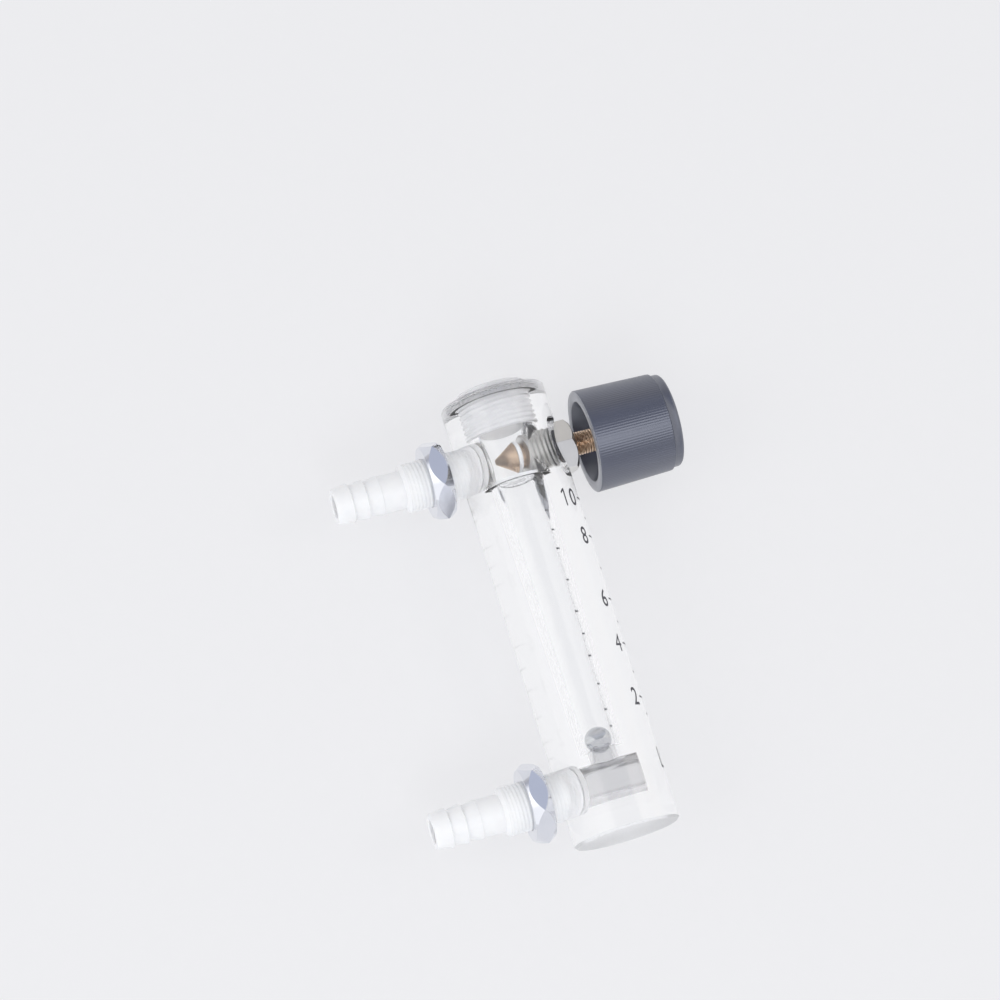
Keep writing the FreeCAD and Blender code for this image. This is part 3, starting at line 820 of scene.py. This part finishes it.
# %% Finish the remaining nodes
KEPT = {
    "top_plug_seal": "seal", "outlet_seal": "seal", "inlet_seal": "seal",
    "bonnet_washer": "washer", "stem_packing": "seal", "float_stop": "stop",
    "outlet_nut": "chrome", "inlet_nut": "chrome", "knob_bush": "brass",
}
for name, finish in KEPT.items():
    node = NODES[name]
    node.data.materials.clear()
    node.data.materials.append(FINISH[finish])
    if finish == "chrome":
        rounding = node.modifiers.new("rounding", "BEVEL")
        rounding.width, rounding.segments = 0.07 * MM, 2
        rounding.limit_method, rounding.angle_limit = "ANGLE", math.radians(25)
        rounding.harden_normals = True
print("kept:", ", ".join(KEPT))

# %% [markdown]
# ## The printed scale
#
# Numbers and ticks are ink on a round surface.  Flat letters are cut into narrow
# strips and each point is wrapped onto the cylinder, so that the ink follows it and
# can be seen from the back through the bar, as real print can.

# %% Wrapping ink round the bar
INK = 0.03              # thickness of the print
STROKE = 0.42
STRIP = 0.35


def wrap(mesh, centre_turn, height):
    """Bend flat ink (x across, y up, z out, in mm) onto the bar's surface."""
    low, high = min(v.co.x for v in mesh.verts), max(v.co.x for v in mesh.verts)
    strips = int((high - low) / STRIP)
    for i in range(1, strips):
        geometry = mesh.verts[:] + mesh.edges[:] + mesh.faces[:]
        bmesh.ops.bisect_plane(mesh, geom=geometry, plane_no=(1, 0, 0),
                               plane_co=(low + (high - low) * i / strips, 0, 0))
    for v in mesh.verts:
        turn = math.radians(centre_turn) + v.co.x / BAR_RADIUS
        r = BAR_RADIUS - INK / 2 + v.co.z
        v.co = Vector((r * math.sin(turn), -r * math.cos(turn), height + v.co.y)) * MM


def thicken(mesh, faces):
    """Raise flat ink by its thickness."""
    raised = bmesh.ops.extrude_face_region(mesh, geom=faces)["geom"]
    bmesh.ops.translate(mesh, vec=(0, 0, INK),
                        verts=[v for v in raised if isinstance(v, bmesh.types.BMVert)])


def letters(name, text, turn, height, tall, squeeze=0.86):
    """A word or number centred on a line of the bar, at a height."""
    curve = bpy.data.curves.new(name, "FONT")
    curve.body, curve.align_x, curve.align_y = text, "CENTER", "CENTER"
    curve.size, curve.extrude = 1.0, 0.0
    curve.resolution_u = 6
    # Thickening spoils the fill of letters with sharp inner corners.
    curve.offset = 0.0 if set(text) & set("4M") else 0.008
    word = bpy.data.objects.new(name, curve)
    bpy.context.scene.collection.objects.link(word)
    graph = bpy.context.evaluated_depsgraph_get()
    flat = bpy.data.meshes.new_from_object(word.evaluated_get(graph))
    bpy.data.objects.remove(word)
    mesh = bmesh.new()
    mesh.from_mesh(flat)
    bmesh.ops.remove_doubles(mesh, verts=mesh.verts, dist=1e-5)
    heights = [v.co.y for v in mesh.verts]
    scale = tall / (max(heights) - min(heights))
    middle = (max(heights) + min(heights)) / 2
    for v in mesh.verts:
        v.co = Vector((v.co.x * scale * squeeze, (v.co.y - middle) * scale, 0))
    thicken(mesh, mesh.faces[:])
    wrap(mesh, turn, height)
    bmesh.ops.recalc_face_normals(mesh, faces=mesh.faces)
    return to_object(name, mesh, 40.0)


def figure_one(name, turn, height, tall):
    """The figure 1 as a bar with a flag, since the plain font draws it as a bar alone."""
    mesh = bmesh.new()
    side, top, lean = STROKE / 2, tall / 2, 0.22 * tall
    flag_top = top - lean * 0.8
    for outline in ([(-side, -top), (side, -top), (side, top), (-side, top)],
                    [(-side, top - 0.62), (-side, top), (-lean, flag_top),
                     (-lean, flag_top - 0.55)]):
        thicken(mesh, [mesh.faces.new([mesh.verts.new((x, y, 0)) for x, y in outline])])
    wrap(mesh, turn, height)
    bmesh.ops.recalc_face_normals(mesh, faces=mesh.faces)
    return to_object(name, mesh, 40.0)


def tick(name, start, end, height):
    """A tick between two lines of the bar, given in degrees."""
    width = math.radians(end - start) * BAR_RADIUS
    mesh = bmesh.new()
    bmesh.ops.create_cube(mesh, size=1.0)
    mesh.transform(Matrix.Translation((0, 0, INK / 2)) @ Matrix.Diagonal(
        (width, STROKE, INK, 1)))
    wrap(mesh, (start + end) / 2, height)
    return to_object(name, mesh, 40.0)


# %% Numbers, ticks and unit
# Turns are degrees round the bar: 0 faces the camera and 90 faces the knob.
ONE_TURN, DIGIT_TURN, DIGIT_TALL = 37.0, 50.5, 4.4
LONG_TICK, SHORT_TICK, TICK_END = 62.0, 69.0, 84.0
UNIT_TURN, UNIT_HEIGHT, UNIT_TALL, UNIT_SQUEEZE = 88.0, 15.0, 5.1, 0.9
TICK_HEIGHTS = {10: 80.8, 9: 75.8, 8: 71.0, 7: 63.0, 6: 55.0, 5: 49.3, 4: 43.7, 3: 36.6,
                2: 30.2, 1: 26.0}
ink = []
for value, height in TICK_HEIGHTS.items():
    numbered = value % 2 == 0
    ink.append(tick("tick_%d" % value, LONG_TICK if numbered else SHORT_TICK, TICK_END,
                    height))
    if value == 10:
        ink.append(figure_one("scale_1", ONE_TURN, height, DIGIT_TALL))
        ink.append(letters("scale_0", "0", DIGIT_TURN, height, DIGIT_TALL))
    elif numbered:
        ink.append(letters("scale_%d" % value, str(value), DIGIT_TURN, height, DIGIT_TALL))
ink.append(letters("unit_LPM", "LPM", UNIT_TURN, UNIT_HEIGHT, UNIT_TALL, UNIT_SQUEEZE))
for piece in ink:
    settle(piece, "ink", "meter", "clear_acrylic")

# %% [markdown]
# ## Floor and backdrop
#
# The meter stands on a pale floor in front of a pale board.  Both are one sided, so
# a camera behind or below them still sees the meter.  They show as an even pale tone,
# and part of that tone is real light on them, so that a soft shadow stays.  Light Path
# tells the kinds of ray apart, and what is seen through the acrylic is the tone alone.

# %% Floor and board
PALE = (0.85, 0.85, 0.87)
# Lamps can't reach into the bar through its own surface, so what lies inside it is
# lit by this much more of the pale room.
INSIDE_LIGHT = 0.95
THROUGH_LOSS = 0.07     # how much darker the pale tone is when seen through the acrylic
MIRROR_GAIN = 0.12      # and how much lighter in a mirror
FLOOR_GLOW, BOARD_GLOW = 0.55, 0.78
FLOOR_GAP, BOARD_GAP = 0.0003, 0.0006
WIDE = 1.2              # the boards reach this far; staging is in metres


def after(path, kind, steps=0.5):
    """1 for a ray with more than a number of earlier steps of one kind, otherwise 0."""
    return path.math("GREATER_THAN", path.out(kind + " Depth"), steps)


def one_sided_tone(name, glow, only_seen):
    """A pale surface that is see-through from its back, and if asked to light as well."""
    finish = Finish(name)
    grain = finish.cloud(3.0)
    paint = finish.add("BsdfDiffuse", {}, {"Color": finish.tint(
        grain, (0.83, 0.83, 0.85), (0.87, 0.87, 0.885))})
    path = finish.add("LightPath", output="Is Camera Ray")
    looked_at = path.math("MAXIMUM", path, path.out("Is Transmission Ray"))
    seen = path.math("MAXIMUM", looked_at, path.out("Is Glossy Ray"))
    through = after(path, "Transmission")
    scattered = through * after(path, "Diffuse")
    light = finish.add("Emission", {}, {
        "Color": rgba(PALE),
        "Strength": 1.0 + MIRROR_GAIN * path.out("Is Glossy Ray")
        - THROUGH_LOSS * through + INSIDE_LIGHT * scattered})
    share = through.math("MAXIMUM", through, glow * seen)
    front = finish.add("MixShader", {}, {0: share, 1: paint, 2: light})
    hidden = finish.add("NewGeometry", output="Backfacing")
    if only_seen:
        hidden = hidden.math("MAXIMUM", hidden, 1 - looked_at)
    clear = finish.add("BsdfTransparent")
    finish.add_output(finish.add("MixShader", {}, {0: hidden, 1: front, 2: clear}))
    return finish.material


def board(name, corners, glow, only_seen=False):
    mesh = bmesh.new()
    mesh.faces.new([mesh.verts.new(corner) for corner in corners])
    piece = to_object(name, mesh)
    piece.data.materials.append(one_sided_tone(name + "_tone", glow, only_seen))
    return piece


behind = cad_high.y + BOARD_GAP
board("floor", [(-WIDE, -WIDE, -FLOOR_GAP), (WIDE, -WIDE, -FLOOR_GAP),
                (WIDE, WIDE, -FLOOR_GAP), (-WIDE, WIDE, -FLOOR_GAP)],
      FLOOR_GLOW, only_seen=True)
board("backdrop", [(-WIDE, behind, -WIDE), (WIDE, behind, -WIDE), (WIDE, behind, WIDE),
                   (-WIDE, behind, WIDE)], BOARD_GLOW)
print("floor and backdrop:", WIDE * 2, "m wide")

# %% [markdown]
# ## Lamps
#
# Three soft lamps light the matt surfaces: two windows left and right, and one low in
# front.  Mirrors and the acrylic don't see them, because a lamp's hard rectangle would
# show in every polished face.

# %% Lamps
AIM = Vector((0, 0, 0.055))


def window(name, place, size, watts, colour):
    data = bpy.data.lights.new(name, "AREA")
    data.shape, data.size, data.size_y = "RECTANGLE", *size
    data.energy, data.color = watts, colour
    lamp = bpy.data.objects.new(name, data)
    bpy.context.scene.collection.objects.link(lamp)
    lamp.location = place
    lamp.rotation_euler = (AIM - Vector(place)).to_track_quat("-Z", "Y").to_euler()
    lamp.visible_glossy = lamp.visible_transmission = False
    print("%-14s %.1f W" % (name, watts))
    return lamp


window("window_left", (-0.75, -0.55, 0.02), (0.45, 0.6), 1.8, (1.0, 1.0, 1.0))
window("window_right", (0.62, -0.75, -0.10), (0.30, 0.5), 1.1, (1.0, 0.97, 0.93))
window("low_front", (-0.15, -0.62, -0.62), (0.5, 0.4), 2.2, (0.94, 0.97, 1.0))

# %% [markdown]
# ## Sky
#
# Metal shows the room around it, so the sky holds a plain room for mirrors: in front a
# dark band above the horizon and a bright one below it, calmer tones at the back, and
# soft bright patches to the sides.  Matt surfaces are lit by an even sky, a little
# stronger from above.  What is seen through the acrylic is the backdrop's pale tone,
# and it is brighter for light on its way to a matt piece inside the bar.

# %% The room that mirrors see
world = bpy.data.worlds.new("dim_sky")
bpy.context.scene.world = world
world.use_nodes = True


class Sky(Finish):
    """The same small language, for the world."""

    def __init__(self, world):
        self.material, self.tree = world, world.node_tree
        self.tree.nodes.clear()

    def add_output(self, surface):
        end = self.tree.nodes.new("ShaderNodeOutputWorld")
        self.tree.links.new(surface.socket, end.inputs["Surface"])

    def patch(self, direction, towards, inner, outer):
        """1 near a direction, falling softly to 0; the edges are angles in degrees."""
        likeness = self.add("VectorMath", {"operation": "DOT_PRODUCT"}, {
            0: direction, 1: Vector(towards).normalized()}, output="Value")
        return self.add("MapRange", {"interpolation_type": "SMOOTHSTEP"}, {
            "Value": likeness, "From Min": math.cos(math.radians(outer)),
            "From Max": math.cos(math.radians(inner))})


sky = Sky(world)
direction = sky.add("TexCoord", output="Generated")
height = sky.add("SeparateXYZ", {}, {0: direction}, output="Z")
lift = 0.5 + 0.5 * height
calm = sky.add("ValToRGB", {"stops": [
    (0.00, (0.40, 0.43, 0.55, 1)), (0.30, (0.80, 0.81, 0.86, 1)),
    (0.60, (0.55, 0.57, 0.63, 1)), (0.95, (0.80, 0.80, 0.80, 1))]}, {0: lift})
front = sky.add("ValToRGB", {"stops": [
    (0.00, (1.08, 1.09, 1.16, 1)), (0.04, (0.70, 0.72, 0.80, 1)),
    (0.10, (0.46, 0.47, 0.52, 1)), (0.15, (0.50, 0.51, 0.56, 1)),
    (0.23, (2.00, 2.03, 2.14, 1)), (0.485, (2.00, 2.03, 2.14, 1)),
    (0.515, (0.14, 0.16, 0.24, 1)), (0.65, (0.22, 0.25, 0.36, 1)),
    (0.75, (0.70, 0.74, 0.87, 1)), (0.81, (0.34, 0.36, 0.46, 1)),
    (0.90, (0.66, 0.65, 0.66, 1)), (0.97, (0.80, 0.78, 0.77, 1))]}, {0: lift})
ahead = sky.add("MapRange", {"interpolation_type": "SMOOTHSTEP"}, {
    "Value": height.out("Y"), "From Min": 0.35, "From Max": -0.15})
room = sky.add("Mix", {"data_type": "RGBA"}, {"Factor": ahead, 6: calm, 7: front}, output=2)

# Each patch: its direction, the angles where it starts and stops fading, and its tone.
PATCHES = [
    ((-1.0, -0.25, -0.2), 42, 58, (1.25, 1.25, 1.27)),
    ((1.0, -0.25, -0.2), 36, 52, (1.15, 1.14, 1.12)),
    ((-0.80, -0.60, 0.12), 8, 24, (1.7, 1.7, 1.7)),
    ((0.60, -0.78, 0.10), 4, 14, (1.5, 1.45, 1.4)),
    ((-0.98, -0.15, 0.05), 12, 18, (1.3, 1.3, 1.3)),
    ((0.92, -0.38, 0.05), 9, 15, (1.25, 1.18, 1.10)),
]
for towards, inner, outer, tone in PATCHES:
    room = sky.add("Mix", {"data_type": "RGBA"}, {
        "Factor": sky.patch(direction, towards, inner, outer), 6: room, 7: rgba(tone)},
        output=2)
print("sky:", len(PATCHES), "patches")

# %% Which ray sees what
path = sky.add("LightPath", output="Is Camera Ray")
inside = after(path, "Transmission")
scattered = after(path, "Diffuse")
# A ray that has crossed three surfaces and met a mirror comes off a metal piece in the
# bar: it sees half the pale tone and half the room.
off_the_ball = after(path, "Transmission", 2.5) * after(path, "Glossy")
see_through = path.math("MAXIMUM", path, path.math(
    "MAXIMUM", path.out("Is Transmission Ray"), inside))
see_through = see_through * (1 - 0.5 * off_the_ball)
mirrored = path.math("MAXIMUM", path.out("Is Glossy Ray"), off_the_ball)
soft = sky.add("Background", {}, {
    "Color": (0.97, 0.98, 1.0, 1), "Strength": sky.between(lift, 0.56, 0.80)})
seen = sky.add("Background", {}, {"Color": room, "Strength": 1.0})
white = sky.add("Background", {}, {
    "Color": rgba(PALE),
    "Strength": 1.0 - THROUGH_LOSS * inside + INSIDE_LIGHT * scattered})
unseen = sky.add("MixShader", {}, {0: mirrored, 1: soft, 2: seen})
sky.add_output(sky.add("MixShader", {}, {0: see_through, 1: unseen, 2: white}))
print("sky nodes:", len(sky.tree.nodes))

# %% [markdown]
# ## Camera
#
# The view is from a little to the left of the front and slightly from below, with the
# camera rolled so that the meter leans.  A long lens keeps the verticals nearly parallel.

# %% Camera
CAMERA_PLACE = Vector((-0.20124, -0.96266, -0.12607))
LOOK_AT = Vector((-0.00639, -0.00438, 0.08542))
ROLL = math.radians(-17.242)
data = bpy.data.cameras.new("camera")
data.lens, data.sensor_width = 149.93, 36.0
data.clip_start, data.clip_end = 0.05, 20.0
camera = bpy.data.objects.new("camera", data)
bpy.context.scene.collection.objects.link(camera)
bpy.context.scene.camera = camera
camera.location = CAMERA_PLACE
camera.rotation_mode = "QUATERNION"
camera.rotation_quaternion = (LOOK_AT - CAMERA_PLACE).to_track_quat(
    "-Z", "Y") @ Matrix.Rotation(ROLL, 3, "Z").to_quaternion()
bpy.context.scene.view_settings.view_transform = "Standard"
print("camera at", [round(v, 3) for v in CAMERA_PLACE])
